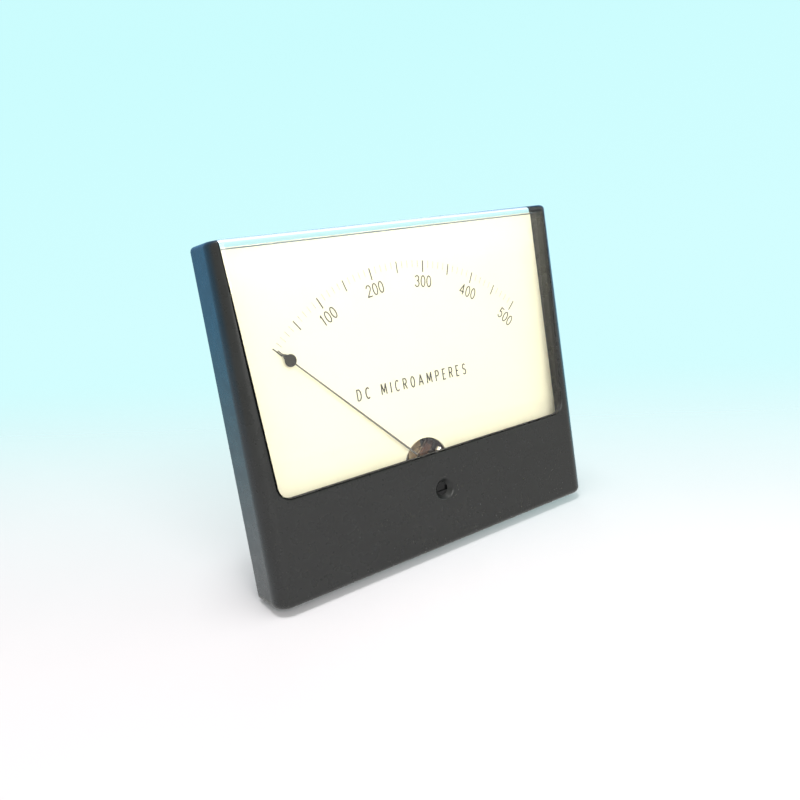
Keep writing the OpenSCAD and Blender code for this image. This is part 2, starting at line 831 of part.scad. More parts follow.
module front_pillars() {
    color("#b9bbbd") at_pivot() for (s = [-1, 1])
        pillar(s * front_pillar_x, front_pillar_z, bridge_rest_y, core_y, bridge_rest_y - eps);
}

module rear_pillars() {
    color("#b9bbbd") at_pivot() for (s = [-1, 1])
        pillar(s * pillar_at, 0, core_end_y, rear_bridge_y, rear_bridge_y - small_hole_depth + eps);
}

// A bridge's flat outline: two arms that dip by an angle, and a boss in the middle
module bridge_outline(dip, arm_w) {
    circle(r = bridge_boss_r);
    for (s = [-1, 1]) rotate(s > 0 ? -dip : 180 + dip) {
        translate([0, -arm_w / 2]) square([pillar_at, arm_w]);
        translate([pillar_at, 0]) circle(r = arm_w / 2);
    }
}

module front_bridge() {
    color("#c8cacb") at_pivot() slab(front_bridge_y, bridge_t) difference() {
        bridge_outline(front_pillar_dip, front_arm_w);
        circle(r = jewel_screw_r);
        for (s = [-1, 1]) {
            translate([s * front_pillar_x, front_pillar_z]) circle(r = small_screw_r + 0.1);
            translate([s * stop_at * sin(stop_angle), stop_at * cos(stop_angle)]) circle(r = stop_r);
        }
    }
}

module front_bridge_screws() {
    color("#8c8f91") at_pivot() for (s = [-1, 1])
        translate([s * front_pillar_x, 0, front_pillar_z])
        small_screw(front_bridge_y, bridge_t + small_hole_depth - 0.2);
}

// Pins that stop the tail a little past each end of the scale
module pointer_stops() {
    color("#d7d9da") at_pivot() for (s = [-1, 1])
        bar(s * stop_at * sin(stop_angle), stop_at * cos(stop_angle), front_bridge_y,
            pointer_y - front_bridge_y + 0.1, stop_r);
}

// Slotted screw along Y from y0 to y1, with a seat for a jewel at one end
module jewel_screw(y0, y1, slot_y, seat_y, seat_t) {
    difference() {
        bar(0, 0, y0, y1 - y0, jewel_screw_r);
        translate([-jewel_screw_r - 1, slot_y, -jewel_slot_w / 2])
            cube([2 * jewel_screw_r + 2, jewel_slot_d, jewel_slot_w]);
        bar(0, 0, seat_y, seat_t, jewel_r);
    }
}

module front_jewel_screw() {
    end_y = front_jewel_y + jewel_t;
    color("#c9b26b") at_pivot()
        jewel_screw(front_screw_y, end_y, front_screw_y - 0.1, front_jewel_y, jewel_t + 1);
}

module rear_jewel_screw() {
    color("#c9b26b") at_pivot()
        jewel_screw(rear_jewel_y, rear_screw_end_y, rear_screw_end_y - 0.4, rear_jewel_y - 1, jewel_t + 1);
}

module lock_nut(y0, t) {
    color("#c9b26b") at_pivot() difference() {
        translate([0, y0, 0]) rotate([-90, 0, 0]) cylinder(h = t, r = lock_nut_w / 2, $fn = 6);
        bar(0, 0, y0 - 1, t + 2, jewel_screw_r);
    }
}

module front_lock_nut() {
    lock_nut(front_nut_y, 0.6);
}

module rear_lock_nut() {
    lock_nut(rear_nut_y, nut_t);
}

// Jewel with the cone that the pivot's tip runs in
module front_jewel() {
    color("#b3122d") at_pivot() difference() {
        bar(0, 0, front_jewel_y, jewel_t, jewel_r);
        taper(0, 0, front_jewel_y + jewel_t - cone_d, cone_d + eps, 0.08, cone_r);
    }
}

module rear_jewel() {
    color("#b3122d") at_pivot() difference() {
        bar(0, 0, rear_jewel_y, jewel_t, jewel_r);
        taper(0, 0, rear_jewel_y - eps, cone_d, cone_r, 0.08);
    }
}

module rear_bridge() {
    color("#c8cacb") at_pivot() {
        slab(rear_bridge_y, bridge_t) difference() {
            union() {
                bridge_outline(0, rear_arm_w);
                translate([-tab_w / 2, 0]) square([tab_w, tab_at + tab_t]);
            }
            circle(r = jewel_screw_r);
            for (s = [-1, 1]) translate([s * pillar_at, 0]) circle(r = small_screw_r + 0.1);
        }
        translate([-tab_w / 2, rear_spring_y, tab_at])
            cube([tab_w, rear_bridge_y + bridge_t - rear_spring_y, tab_t]);
    }
}

module rear_bridge_screws() {
    color("#8c8f91") at_pivot() for (s = [-1, 1]) translate([s * pillar_at, 0, 0])
        small_screw_back(rear_bridge_y + bridge_t, bridge_t + small_hole_depth - 0.2);
}

// Flat spiral strip from the collar out to the anchor above the pivot
module hairspring(y0) {
    in_r = collar_r + 0.05 + spring_t / 2;
    out_r = spring_r - spring_t / 2;
    steps = 28 * spring_turns;
    function at(i) = 90 - 360 * spring_turns * (1 - i / steps);
    function rad(i) = in_r + (out_r - in_r) * i / steps;
    inner = [for (i = [0 : steps]) (rad(i) - spring_t / 2) * [cos(at(i)), sin(at(i))]];
    outer = [for (i = [steps : -1 : 0]) (rad(i) + spring_t / 2) * [cos(at(i)), sin(at(i))]];
    color("#b87a4b") at_pivot() slab(y0, spring_h) polygon(concat(inner, outer));
}

module front_hairspring() {
    hairspring(front_spring_y);
}

module rear_hairspring() {
    hairspring(rear_spring_y);
}

// Rectangular ring round the core, seen from above; grow is its size over the former's inside
module coil_ring(grow_in, grow_out, w) {
    length = coil_in_end_y - coil_in_y;
    translate([0, 0, -w / 2]) linear_extrude(height = w) difference() {
        translate([-coil_in_x - grow_out, coil_in_y - grow_out])
            rounded_rect(2 * (coil_in_x + grow_out), length + 2 * grow_out, former_corner + grow_out);
        translate([-coil_in_x - grow_in, coil_in_y - grow_in])
            rounded_rect(2 * (coil_in_x + grow_in), length + 2 * grow_in, former_corner + grow_in);
    }
}

module coil_former() {
    color("#d3d5d6") at_zero() coil_ring(0, former_t, former_w);
}

module coil_winding() {
    color("#9c4f25") at_zero() coil_ring(former_t, former_t + winding_t, winding_w);
}

// Steel pivot on its brass base, with the collar of the hairspring
module front_pivot() {
    color("#c0c2c4") at_zero() {
        bar(0, 0, winding_y - hub_t, hub_t, hub_r);
        bar(0, 0, front_tip_y + tip_len, winding_y - hub_t - front_tip_y - tip_len + eps, shaft_r);
        bar(0, 0, front_spring_y, spring_h, collar_r);
        taper(0, 0, front_tip_y, tip_len + eps, 0.02, shaft_r * 0.6);
    }
}

module rear_pivot() {
    color("#c0c2c4") at_zero() {
        bar(0, 0, winding_end_y, hub_t, hub_r);
        bar(0, 0, winding_end_y + hub_t - eps, rear_tip_y - tip_len - winding_end_y - hub_t + eps, shaft_r);
        bar(0, 0, rear_spring_y, spring_h, collar_r);
        taper(0, 0, rear_tip_y - tip_len - eps, tip_len, shaft_r * 0.6, 0.02);
    }
}

// Four arms: pointer seat above, tail below, a side arm each way
module balance_cross() {
    side_len = weight_at + side_weight_len + 0.3;
    color("#c9b26b") at_zero() slab(cross_y, cross_t) difference() {
        union() {
            circle(r = 1.7);
            translate([-cross_w / 2, -tail_len]) square([cross_w, tail_len + seat_len]);
            translate([-side_len, -cross_w / 2]) square([2 * side_len, cross_w]);
        }
        circle(r = shaft_r);
    }
}

// One weight threaded on an arm that runs along +X
module balance_weight(at, len) {
    difference() {
        translate([at, weight_y, 0]) rotate([0, 90, 0]) cylinder(h = len, r = weight_r);
        translate([at - 1, cross_y, -cross_w / 2]) cube([len + 2, cross_t, cross_w]);
    }
}

module balance_weights() {
    color("#b59a55") at_zero() {
        mirrored() balance_weight(weight_at, side_weight_len);
        rotate([0, 90, 0]) balance_weight(tail_weight_at, tail_weight_len);
    }
}

// Tapered strip with a disc near its tip
module pointer() {
    root = 2;
    half_at_disc = pointer_half(disc_at, root);
    half_past_disc = pointer_half(disc_at + disc_point, root);
    side = [
        [pointer_half(root, root), root], [half_at_disc, disc_at], [0.9 * disc_r, disc_at],
        [half_past_disc, disc_at + disc_point], [pointer_half(pointer_len, root), pointer_len]
    ];
    other_side = [for (i = [len(side) - 1 : -1 : 0]) [-side[i][0], side[i][1]]];
    color("#16181a") at_zero() slab(pointer_y, pointer_t) {
        polygon(concat(side, other_side));
        translate([0, disc_at]) circle(r = disc_r);
    }
}

// Half width of the pointer's arm at a distance from the pivot
function pointer_half(at, root) =
    (pointer_root_w + (pointer_tip_w - pointer_root_w) * (at - root) / (pointer_len - root)) / 2;

// Round tube through the points of a route, smoothed between them
module lead(route) {
    last = len(route) - 1;
    per = 2;
    function pick(i) = route[max(0, min(last, i))];
    function along(i, f) = let (a = pick(i - 1), b = pick(i), c = pick(i + 1), d = pick(i + 2))
        b + (c - a) * f / 2 + (2 * a - 5 * b + 4 * c - d) * f * f / 2
        + (3 * b - a - 3 * c + d) * f * f * f / 2;
    rings = last * per;
    pts = [for (k = [0 : rings]) along(floor(k / per), (k % per) / per)];
    function dir(k) = let (v = pts[min(rings, k + 1)] - pts[max(0, k - 1)]) v / norm(v);
    function side(k) = let (v = cross(dir(k), [0, 0.2, 1])) v / norm(v);
    skin = [for (k = [0 : rings], j = [0 : lead_sides - 1])
        let (a = 360 * j / lead_sides, u = side(k), v = cross(dir(k), u))
        pts[k] + lead_r * (cos(a) * u + sin(a) * v)];
    tube = [for (k = [0 : rings - 1], j = [0 : lead_sides - 1])
        let (n = (j + 1) % lead_sides, a = k * lead_sides, b = a + lead_sides)
        [a + j, b + j, b + n, a + n]];
    ends = [
        [for (j = [0 : lead_sides - 1]) j],
        [for (j = [lead_sides - 1 : -1 : 0]) rings * lead_sides + j]
    ];
    polyhedron(points = skin, faces = concat(tube, ends));
}

module front_lead() {
    color("#a8221f") lead(front_lead_route);
}

module rear_lead() {
    color("#202224") lead(rear_lead_route);
}

front_cover();
window();
case_back();
case_screws();
mounting_studs();
terminal_studs();
terminal_lugs();
terminal_washers();
terminal_nuts();
zero_screw();
zero_screw_clip();
zero_lever();
dial_plate();
dial_screws();
magnet_core();
yoke_ring();
front_core_strap();
rear_core_strap();
strap_screws();
movement_screws();
front_pillars();
front_bridge();
front_bridge_screws();
front_jewel_screw();
front_lock_nut();
front_jewel();
pointer_stops();
rear_pillars();
rear_bridge();
rear_bridge_screws();
rear_jewel_screw();
rear_lock_nut();
rear_jewel();
front_hairspring();
rear_hairspring();
coil_former();
coil_winding();
front_pivot();
rear_pivot();
balance_cross();
balance_weights();
pointer();
front_lead();
rear_lead();
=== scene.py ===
"""Looks of a rectangular wide-view panel meter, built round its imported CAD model.

The row frame is in metres: X to the right of the dial, Y into the panel, Z up. Sizes of prints,
studs and textures are given in millimetres and brought to metres by MM.
"""

import math

import bpy
from mathutils import Matrix, Vector


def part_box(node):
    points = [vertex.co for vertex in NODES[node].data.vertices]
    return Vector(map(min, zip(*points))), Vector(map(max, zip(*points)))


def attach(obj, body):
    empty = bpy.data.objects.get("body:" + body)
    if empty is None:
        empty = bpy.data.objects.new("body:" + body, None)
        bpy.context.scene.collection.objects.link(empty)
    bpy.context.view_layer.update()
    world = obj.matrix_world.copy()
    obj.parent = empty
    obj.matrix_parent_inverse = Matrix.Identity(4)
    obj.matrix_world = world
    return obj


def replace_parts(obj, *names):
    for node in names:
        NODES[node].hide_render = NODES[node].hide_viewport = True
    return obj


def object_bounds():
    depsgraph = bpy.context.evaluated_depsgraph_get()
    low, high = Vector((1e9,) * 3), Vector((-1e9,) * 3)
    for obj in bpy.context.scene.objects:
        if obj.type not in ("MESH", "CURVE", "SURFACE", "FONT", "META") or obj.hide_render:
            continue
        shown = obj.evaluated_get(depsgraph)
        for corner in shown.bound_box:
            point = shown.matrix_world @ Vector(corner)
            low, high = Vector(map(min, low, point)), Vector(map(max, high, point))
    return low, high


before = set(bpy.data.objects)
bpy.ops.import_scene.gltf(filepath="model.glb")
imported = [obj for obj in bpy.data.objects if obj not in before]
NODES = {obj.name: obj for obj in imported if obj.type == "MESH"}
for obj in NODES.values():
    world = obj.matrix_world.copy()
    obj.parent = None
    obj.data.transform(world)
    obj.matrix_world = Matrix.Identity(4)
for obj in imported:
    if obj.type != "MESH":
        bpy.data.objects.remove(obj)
cad_low, cad_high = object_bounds()
MM = 0.001

# Blender's wave texture repeats once for each such step of its scaled place
WAVE_STEP = 0.314
# Nearly all values of a noise lie between these
NOISE_LOW, NOISE_HIGH = 0.3, 0.7
# Centre of the pointer's disc from the tip's corner of the box, its radius and its blurred rim
DISC_INWARDS, DISC_R, DISC_BLUR = 3.25, 2.6, 0.7
# Sockets of a mix node that mixes colours
MIX_FACTOR, MIX_FIRST, MIX_SECOND, MIX_RESULT = 0, 6, 7, 2


# ---------------------------------------------------------------- materials


def new_node(tree, kind, **values):
    """A new node of a tree with these settings."""
    node = tree.nodes.new(kind)
    for key, value in values.items():
        setattr(node, key, value)
    return node


class Look:
    """A procedural material: colour, roughness and bump vary with the place on the piece."""

    def __init__(self, name, colour, rough, metal=0.0, **sockets):
        self.material = bpy.data.materials.new(name)
        self.material.use_nodes = True
        self.tree = self.material.node_tree
        self.shader = self.tree.nodes["Principled BSDF"]
        self.colour = colour
        self.shader.inputs["Base Color"].default_value = (*colour, 1)
        self.shader.inputs["Roughness"].default_value = rough
        self.shader.inputs["Metallic"].default_value = metal
        for key, value in sockets.items():
            self.shader.inputs[key.replace("_", " ")].default_value = value
        self.place = self.add("ShaderNodeTexCoord").outputs["Object"]
        self.height = None
        self.material.diffuse_color = (*colour, 1)

    def add(self, kind, **values):
        """A new node with these settings."""
        return new_node(self.tree, kind, **values)

    def join(self, out, node, key):
        """Links an output to an input of a node."""
        self.tree.links.new(out, node.inputs[key])

    def mapped(self, stretch=(1, 1, 1), turn=(0, 0, 0)):
        """The place on the piece, turned and then stretched."""
        node = self.add("ShaderNodeMapping")
        node.inputs["Rotation"].default_value = turn
        node.inputs["Scale"].default_value = stretch
        self.join(self.place, node, "Vector")
        return node.outputs["Vector"]

    def noise(self, size, detail=3.0, place=None):
        """Noise with features of about that size in millimetres."""
        node = self.add("ShaderNodeTexNoise")
        node.inputs["Scale"].default_value = 1 / (size * MM)
        node.inputs["Detail"].default_value = detail
        self.join(place or self.place, node, "Vector")
        return node.outputs["Fac"]

    def wave(self, size, axis, distortion=0.0, place=None):
        """Fine lines across an axis, one for each such step in millimetres."""
        node = self.add("ShaderNodeTexWave", bands_direction=axis)
        node.inputs["Scale"].default_value = WAVE_STEP / (size * MM)
        node.inputs["Distortion"].default_value = distortion
        self.join(place or self.place, node, "Vector")
        return node.outputs["Fac"]

    def spread(self, fac, low, high, key):
        """A shader value that runs from low to high as the pattern does."""
        node = self.add("ShaderNodeMapRange")
        node.inputs["From Min"].default_value = NOISE_LOW
        node.inputs["From Max"].default_value = NOISE_HIGH
        node.inputs["To Min"].default_value = low
        node.inputs["To Max"].default_value = high
        self.join(fac, node, "Value")
        self.join(node.outputs["Result"], self.shader, key)

    def tint(self, fac, other, low=0.35, high=0.7):
        """The colour turns to the other one where the pattern is high."""
        ramp = self.add("ShaderNodeValToRGB")
        ramp.color_ramp.elements[0].position = low
        ramp.color_ramp.elements[0].color = (*self.colour, 1)
        ramp.color_ramp.elements[1].position = high
        ramp.color_ramp.elements[1].color = (*other, 1)
        self.join(fac, ramp, "Fac")
        self.join(ramp.outputs["Color"], self.shader, "Base Color")

    def relief(self, fac, depth, strength=1.0):
        """Bump of that depth in millimetres, on top of the bump so far."""
        node = self.add("ShaderNodeBump")
        node.inputs["Strength"].default_value = strength
        node.inputs["Distance"].default_value = depth * MM
        self.join(fac, node, "Height")
        if self.height is not None:
            self.join(self.height, node, "Normal")
        self.height = node.outputs["Normal"]
        self.join(self.height, self.shader, "Normal")


def step_above(look, out, edge, soft):
    """A mask that runs from 0 to 1 as a value passes an edge, or back where soft is negative."""
    node = look.add("ShaderNodeMapRange")
    node.inputs["From Min"].default_value = edge - soft
    node.inputs["From Max"].default_value = edge + soft
    look.join(out, node, "Value")
    return node.outputs["Result"]


def arithmetic(look, operation, a, b):
    """The outcome of one sum on two sockets or numbers."""
    node = look.add("ShaderNodeMath", operation=operation)
    for key, value in ((0, a), (1, b)):
        if isinstance(value, (int, float)):
            node.inputs[key].default_value = value
        else:
            look.join(value, node, key)
    return node.outputs[0]


def parted(look, out):
    """The three parts of a vector."""
    node = look.add("ShaderNodeSeparateXYZ")
    look.join(out, node, "Vector")
    return node.outputs


def scaled(colour, k):
    """A lighter or darker colour, by that factor."""
    return tuple(min(1.0, c * k) for c in colour)


def moulded(name, colour, rough, grain=0.35, depth=0.006, gloss=0.5):
    """Moulded plastic: a fine grain, faint flow marks and a little dust in its roughness."""
    look = Look(name, colour, rough, IOR=1.5, Specular_IOR_Level=gloss)
    look.tint(look.noise(9, 4), scaled(colour, 1.18))
    look.spread(look.noise(3.5, 5), rough - 0.05, rough + 0.06, "Roughness")
    look.relief(look.noise(grain, 2), depth)
    look.relief(look.noise(26, 1), 0.05, 0.35)
    return look.material


def plated(name, colour, rough, tarnish, lines=0.12):
    """Rolled or turned metal under plating, with fine drawn lines and cloudy patches."""
    look = Look(name, colour, rough, 1.0)
    look.tint(look.noise(2.6, 4), tarnish)
    streaks = look.noise(lines * 5, 3, look.mapped((0.12, 1, 1)))
    look.spread(streaks, rough - 0.07, rough + 0.1, "Roughness")
    look.relief(streaks, 0.004)
    return look.material


def turned(name, colour, rough, tarnish, step=0.14):
    """Metal cut on a lathe about Y: fine rings round each piece's own axis, and cloudy patches."""
    look = Look(name, colour, rough, 1.0)
    look.tint(look.noise(1.8, 4), tarnish)
    rings = look.wave(step, "Y", distortion=0.6)
    look.spread(look.noise(0.8, 3), rough - 0.06, rough + 0.08, "Roughness")
    look.relief(rings, 0.004, 0.7)
    return look.material


def enamel(name, colour, aged):
    """Matt paint on sheet: faint orange peel and a slightly yellowed cloud here and there."""
    look = Look(name, colour, 0.62, Specular_IOR_Level=0.3)
    look.tint(look.noise(38, 3), aged, 0.4, 0.8)
    look.spread(look.noise(6, 3), 0.57, 0.68, "Roughness")
    look.relief(look.noise(0.55, 2), 0.004)
    return look.material


def ink(name, colour):
    """Printed ink, a little uneven in its cover."""
    look = Look(name, colour, 0.6)
    look.tint(look.noise(0.7, 4), scaled(colour, 1.9), 0.4, 0.8)
    look.relief(look.noise(0.12, 2), 0.002)
    return look.material


def clear(name, colour, rough=0.015, ior=1.49, keep=0.96, cemented=False):
    """Clear plastic or stone that lets light through to what lies behind it."""
    look = Look(name, colour, rough, Transmission_Weight=1.0, IOR=ior)
    look.spread(look.noise(11, 3), rough * 0.7, rough * 1.4, "Roughness")
    look.relief(look.noise(30, 1), 0.01, 0.2)
    path = look.add("ShaderNodeLightPath")
    through = look.add("ShaderNodeBsdfTransparent")
    through.inputs["Color"].default_value = (*scaled(colour, keep), 1)
    mix = look.add("ShaderNodeMixShader")
    look.join(path.outputs["Is Shadow Ray"], mix, "Fac")
    look.join(look.shader.outputs["BSDF"], mix, 1)
    look.join(through.outputs["BSDF"], mix, 2)
    shown = mix.outputs["Shader"]
    if cemented:
        shown = blackened(look, shown)
    look.join(shown, look.tree.nodes["Material Output"], "Surface")
    return look.material


def blackened(look, clear_shader):
    """Darkens the window's edges where they are cemented into the cover."""
    x, y, _ = parted(look, look.add("ShaderNodeTexCoord").outputs["Normal"])
    _, _, height = parted(look, look.place)
    edge = step_above(look, arithmetic(look, "ABSOLUTE", y, 0), 0.3, -0.05)
    low = step_above(look, height, CLEAR_TOP_Z * MM, -MM)
    side = step_above(look, arithmetic(look, "ABSOLUTE", x, 0), 0.8, 0.05)
    mask = arithmetic(look, "MULTIPLY", edge, arithmetic(look, "MAXIMUM", low, side))
    cement = look.add("ShaderNodeBsdfPrincipled")
    cement.inputs["Base Color"].default_value = (*CEMENT, 1)
    cement.inputs["Roughness"].default_value = 0.6
    cement.inputs["Specular IOR Level"].default_value = 0.1
    mix = look.add("ShaderNodeMixShader")
    look.join(mask, mix, "Fac")
    look.join(clear_shader, mix, 1)
    look.join(cement.outputs["BSDF"], mix, 2)
    return mix.outputs["Shader"]


def wound(name, colour, other):
    """Layers of fine enamelled wire, laid side by side round the former."""
    look = Look(name, colour, 0.34, 0.85, Coat_Weight=0.15, Coat_Roughness=0.2)
    place = look.mapped(turn=(0, math.radians(45), 0))
    look.tint(look.noise(0.5, 3), other)
    look.relief(look.wave(0.16, "Z", place=place), 0.05)
    look.spread(look.noise(0.9, 3), 0.24, 0.38, "Roughness")
    return look.material


def tipped(name, colour, arm_sheen):
    """Matt paint, dark on the pointer's disc; along its arm a lighter grey, a painted sheen for the
    light its thin edge catches.
    """
    look = Look(name, colour, 0.55)
    look.spread(look.noise(1.2, 3), 0.5, 0.62, "Roughness")
    look.relief(look.noise(0.15, 2), 0.003)
    far = look.add("ShaderNodeVectorMath", operation="DISTANCE")
    far.inputs[1].default_value = pointer_disc()
    look.join(look.place, far, 0)
    past_disc = step_above(look, far.outputs["Value"], DISC_R * MM, DISC_BLUR * MM)
    # Past the disc's rim the paint turns lighter grey: painted sheen along the arm
    look.tint(past_disc, arm_sheen, 0, 1)
    return look.material


def pointer_disc():
    """The centre of the pointer's disc, which lies just short of its tip at the upper left."""
    low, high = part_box("pointer")
    inwards = DISC_INWARDS * MM
    return (low.x + inwards, (low.y + high.y) / 2, high.z - inwards)


def insulation(name, colour):
    """Soft insulation of a thin wire, faintly dusty."""
    look = Look(name, colour, 0.5)
    look.tint(look.noise(1.6, 4), scaled(colour, 1.35))
    look.spread(look.noise(0.8, 3), 0.44, 0.58, "Roughness")
    look.relief(look.noise(0.25, 3), 0.01)
    return look.material


COVER = (0.014, 0.0156, 0.0152)
CASE = (0.018, 0.0185, 0.019)
# The window's edges above this height stay clear, apart from those that face sideways
CLEAR_TOP_Z = 50
CEMENT = (0.012, 0.0125, 0.013)
STEEL = (0.62, 0.63, 0.64)
BRASS = (0.72, 0.56, 0.28)

cover_plastic = moulded("cover_plastic", COVER, 0.28)
case_plastic = moulded("case_plastic", CASE, 0.5, 0.5, 0.012)
knob_plastic = moulded("black_nylon", (0.007, 0.0075, 0.008), 0.22, 0.2, 0.003, 0.3)
acrylic = clear("clear_acrylic", (0.998, 0.996, 0.99), cemented=True)
ruby = clear("ruby", (0.75, 0.03, 0.1), 0.03, 1.76)
dial_paint = enamel("dial_enamel", (0.93, 0.9, 0.67), (0.93, 0.895, 0.655))
print_ink = ink("print_ink", (0.028, 0.026, 0.024))
fine_ink = ink("fine_print_ink", (0.36, 0.34, 0.28))
zinc = turned("zinc_steel", STEEL, 0.32, (0.5, 0.5, 0.5))
nickel = plated("spring_steel", (0.7, 0.68, 0.63), 0.17, (0.45, 0.42, 0.36))
pillar_metal = turned("plated_brass", (0.68, 0.66, 0.6), 0.28, (0.5, 0.46, 0.38))
brass = plated("frame_brass", BRASS, 0.2, (0.4, 0.28, 0.13))
# A lighter copy of the frame's brass: painted light, so the core straps look more brightly lit
strap_brass_painted_light = plated("strap_brass_painted_light", (0.9, 0.72, 0.42), 0.33, (0.6, 0.42, 0.19))
weight_metal = plated("weight_brass", (0.93, 0.88, 0.76), 0.32, (0.85, 0.78, 0.62))
terminal_brass = turned("terminal_brass", (0.7, 0.55, 0.3), 0.3, (0.52, 0.38, 0.2))
tinned = plated("tinned_brass", (0.7, 0.66, 0.56), 0.35, (0.52, 0.46, 0.36))
magnet = turned("magnet_alloy", (0.26, 0.24, 0.21), 0.3, (0.13, 0.115, 0.095), 0.2)
iron = turned("soft_iron", (0.13, 0.105, 0.075), 0.3, (0.07, 0.055, 0.04), 0.2)
bronze = plated("phosphor_bronze", (0.7, 0.4, 0.22), 0.25, (0.5, 0.25, 0.13))
aluminium = plated("bare_aluminium", (0.3, 0.26, 0.21), 0.38, (0.2, 0.17, 0.13))
copper = wound("enamelled_copper", (0.12, 0.05, 0.02), (0.06, 0.026, 0.011))
# The arm's lighter grey is a painted sheen, not a second paint
pointer_paint = tipped("black_aluminium", (0.012, 0.0105, 0.007), (0.12, 0.115, 0.1))
red_wire = insulation("red_wire", (0.42, 0.035, 0.025))
black_wire = insulation("black_wire", (0.025, 0.025, 0.027))

FINISH = {
    cover_plastic: ["front_cover"],
    case_plastic: ["case_back"],
    knob_plastic: ["zero_screw"],
    acrylic: ["window"],
    ruby: ["front_jewel", "rear_jewel"],
    dial_paint: ["dial_plate"],
    zinc: [
        "case_screws", "terminal_washers", "zero_screw_clip", "dial_screws", "strap_screws",
        "movement_screws", "front_bridge_screws", "rear_bridge_screws", "mounting_studs",
    ],
    nickel: [
        "zero_lever", "front_bridge", "rear_bridge", "pointer_stops", "front_pivot", "rear_pivot",
    ],
    pillar_metal: ["front_pillars", "rear_pillars"],
    strap_brass_painted_light: ["front_core_strap", "rear_core_strap"],
    brass: [
        "front_jewel_screw", "front_lock_nut",
        "rear_jewel_screw", "rear_lock_nut", "balance_cross",
    ],
    weight_metal: ["balance_weights"],
    terminal_brass: ["terminal_studs", "terminal_nuts"],
    tinned: ["terminal_lugs"],
    magnet: ["magnet_core"],
    iron: ["yoke_ring"],
    bronze: ["front_hairspring", "rear_hairspring"],
    aluminium: ["coil_former"],
    copper: ["coil_winding"],
    pointer_paint: ["pointer"],
    red_wire: ["front_lead"],
    black_wire: ["rear_lead"],
}
for material, names in FINISH.items():
    for name in names:
        slots = NODES[name].material_slots
        if not slots:
            NODES[name].data.materials.append(material)
        for slot in slots:
            slot.material = material


# ---------------------------------------------------------------- printed dial

dial_low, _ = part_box("dial_plate")
pivot_low, pivot_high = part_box("magnet_core")
PIVOT_Z = (pivot_low.z + pivot_high.z) / 2 / MM
PRINT_Y = dial_low.y / MM
PRINT_T = 0.06
SCALE_R = 62.6
ZERO_ANGLE = -45
FULL_ANGLE = 45
FULL_SCALE = 500
# Length and width of the ticks at every hundred, every fifty and every ten
HUNDRED_TICK, FIFTY_TICK, TEN_TICK = (3.5, 0.36), (3.4, 0.32), (2.1, 0.19)
NUMERAL_R = 56.3
NUMERAL_HEIGHT, NUMERAL_GAP, NUMERAL_STROKE, NUMERAL_SPACE = 3.3, 0.72, 0.34, 2
LEGEND_X, LEGEND_Z = -0.2, 11.6
LEGEND_HEIGHT, LEGEND_GAP, LEGEND_STROKE, LEGEND_SPACE = 3.2, 1.66, 0.38, 4.2
# A stroke is parted where it turns more sharply than this
SHARP_TURN = math.radians(50)
# A path whose ends are nearer than this, in millimetres, is closed
CLOSED_GAP = 1e-4
# A corner reaches no further than this many half widths of its stroke
MITRE_LIMIT = 1.6
PLAIN_WIDTH = 1.3


def arc(cx, cz, rx, rz, start, end, steps=14):
    """Points on an ellipse's arc, by angles from the right, anticlockwise."""
    return [
        (
            cx + rx * math.cos(math.radians(start + (end - start) * i / steps)),
            cz + rz * math.sin(math.radians(start + (end - start) * i / steps)),
        )
        for i in range(steps + 1)
    ]


OVAL = [arc(0.5, 0.5, 0.5, 0.5, 90, 450, 28)]
# Each sign's strokes in a cell one wide and one high
GLYPHS = {
    "0": OVAL,
    "O": OVAL,
    "1": [[(0.3, 0.82), (0.62, 1), (0.62, 0)]],
    "2": [arc(0.5, 0.72, 0.45, 0.28, 170, -20) + [(0.02, 0), (0.98, 0)]],
    "3": [
        arc(0.48, 0.755, 0.42, 0.245, 160, -90),
        arc(0.48, 0.27, 0.48, 0.27, 90, -160),
    ],
    "4": [[(0.98, 0.28), (0.02, 0.28), (0.72, 1), (0.72, 0)]],
    "5": [[(0.92, 1), (0.18, 1), (0.12, 0.56)] + arc(0.45, 0.31, 0.47, 0.31, 125, -150)],
    "A": [[(0, 0), (0.5, 1), (1, 0)], [(0.17, 0.32), (0.83, 0.32)]],
    "C": [arc(0.55, 0.5, 0.53, 0.5, 48, 312, 20)],
    "D": [[(0, 0), (0, 1), (0.35, 1)] + arc(0.35, 0.5, 0.62, 0.5, 90, -90) + [(0, 0)]],
    "E": [[(1, 1), (0, 1), (0, 0), (1, 0)], [(0, 0.52), (0.82, 0.52)]],
    "I": [[(0.5, 0), (0.5, 1)]],
    "M": [[(0, 0), (0.08, 1), (0.5, 0.22), (0.92, 1), (1, 0)]],
    "P": [[(0, 0), (0, 1), (0.5, 1)] + arc(0.5, 0.745, 0.48, 0.255, 90, -90) + [(0, 0.49)]],
    "R": [
        [(0, 0), (0, 1), (0.5, 1)] + arc(0.5, 0.745, 0.46, 0.255, 90, -90) + [(0, 0.49)],
        [(0.45, 0.49), (1, 0)],
    ],
    "S": [
        arc(0.5, 0.75, 0.44, 0.25, 35, 270, 12) + arc(0.5, 0.25, 0.47, 0.25, 90, -150, 14)[1:]
    ],
}
NUMERAL_WIDTHS = {"0": 1.45, "1": 1.0, "2": 1.6, "3": 1.55, "4": 1.7, "5": 1.55}
WIDTHS = {"M": 1.75, "I": 0.02, "A": 1.5, "E": 0.95, "R": 1.15, "P": 1.15, "S": 1.15, "O": 1.3}


def new_mesh(name, points, faces, material):
    """A mesh of points in metres, in one material."""
    mesh = bpy.data.meshes.new(name)
    mesh.from_pydata(points, [], faces)
    mesh.materials.append(material)
    mesh.validate()
    mesh.update()
    return mesh


def new_piece(name, mesh, body):
    """An object that moves with a body."""
    obj = bpy.data.objects.new(name, mesh)
    bpy.context.scene.collection.objects.link(obj)
    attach(obj, body)
    return obj


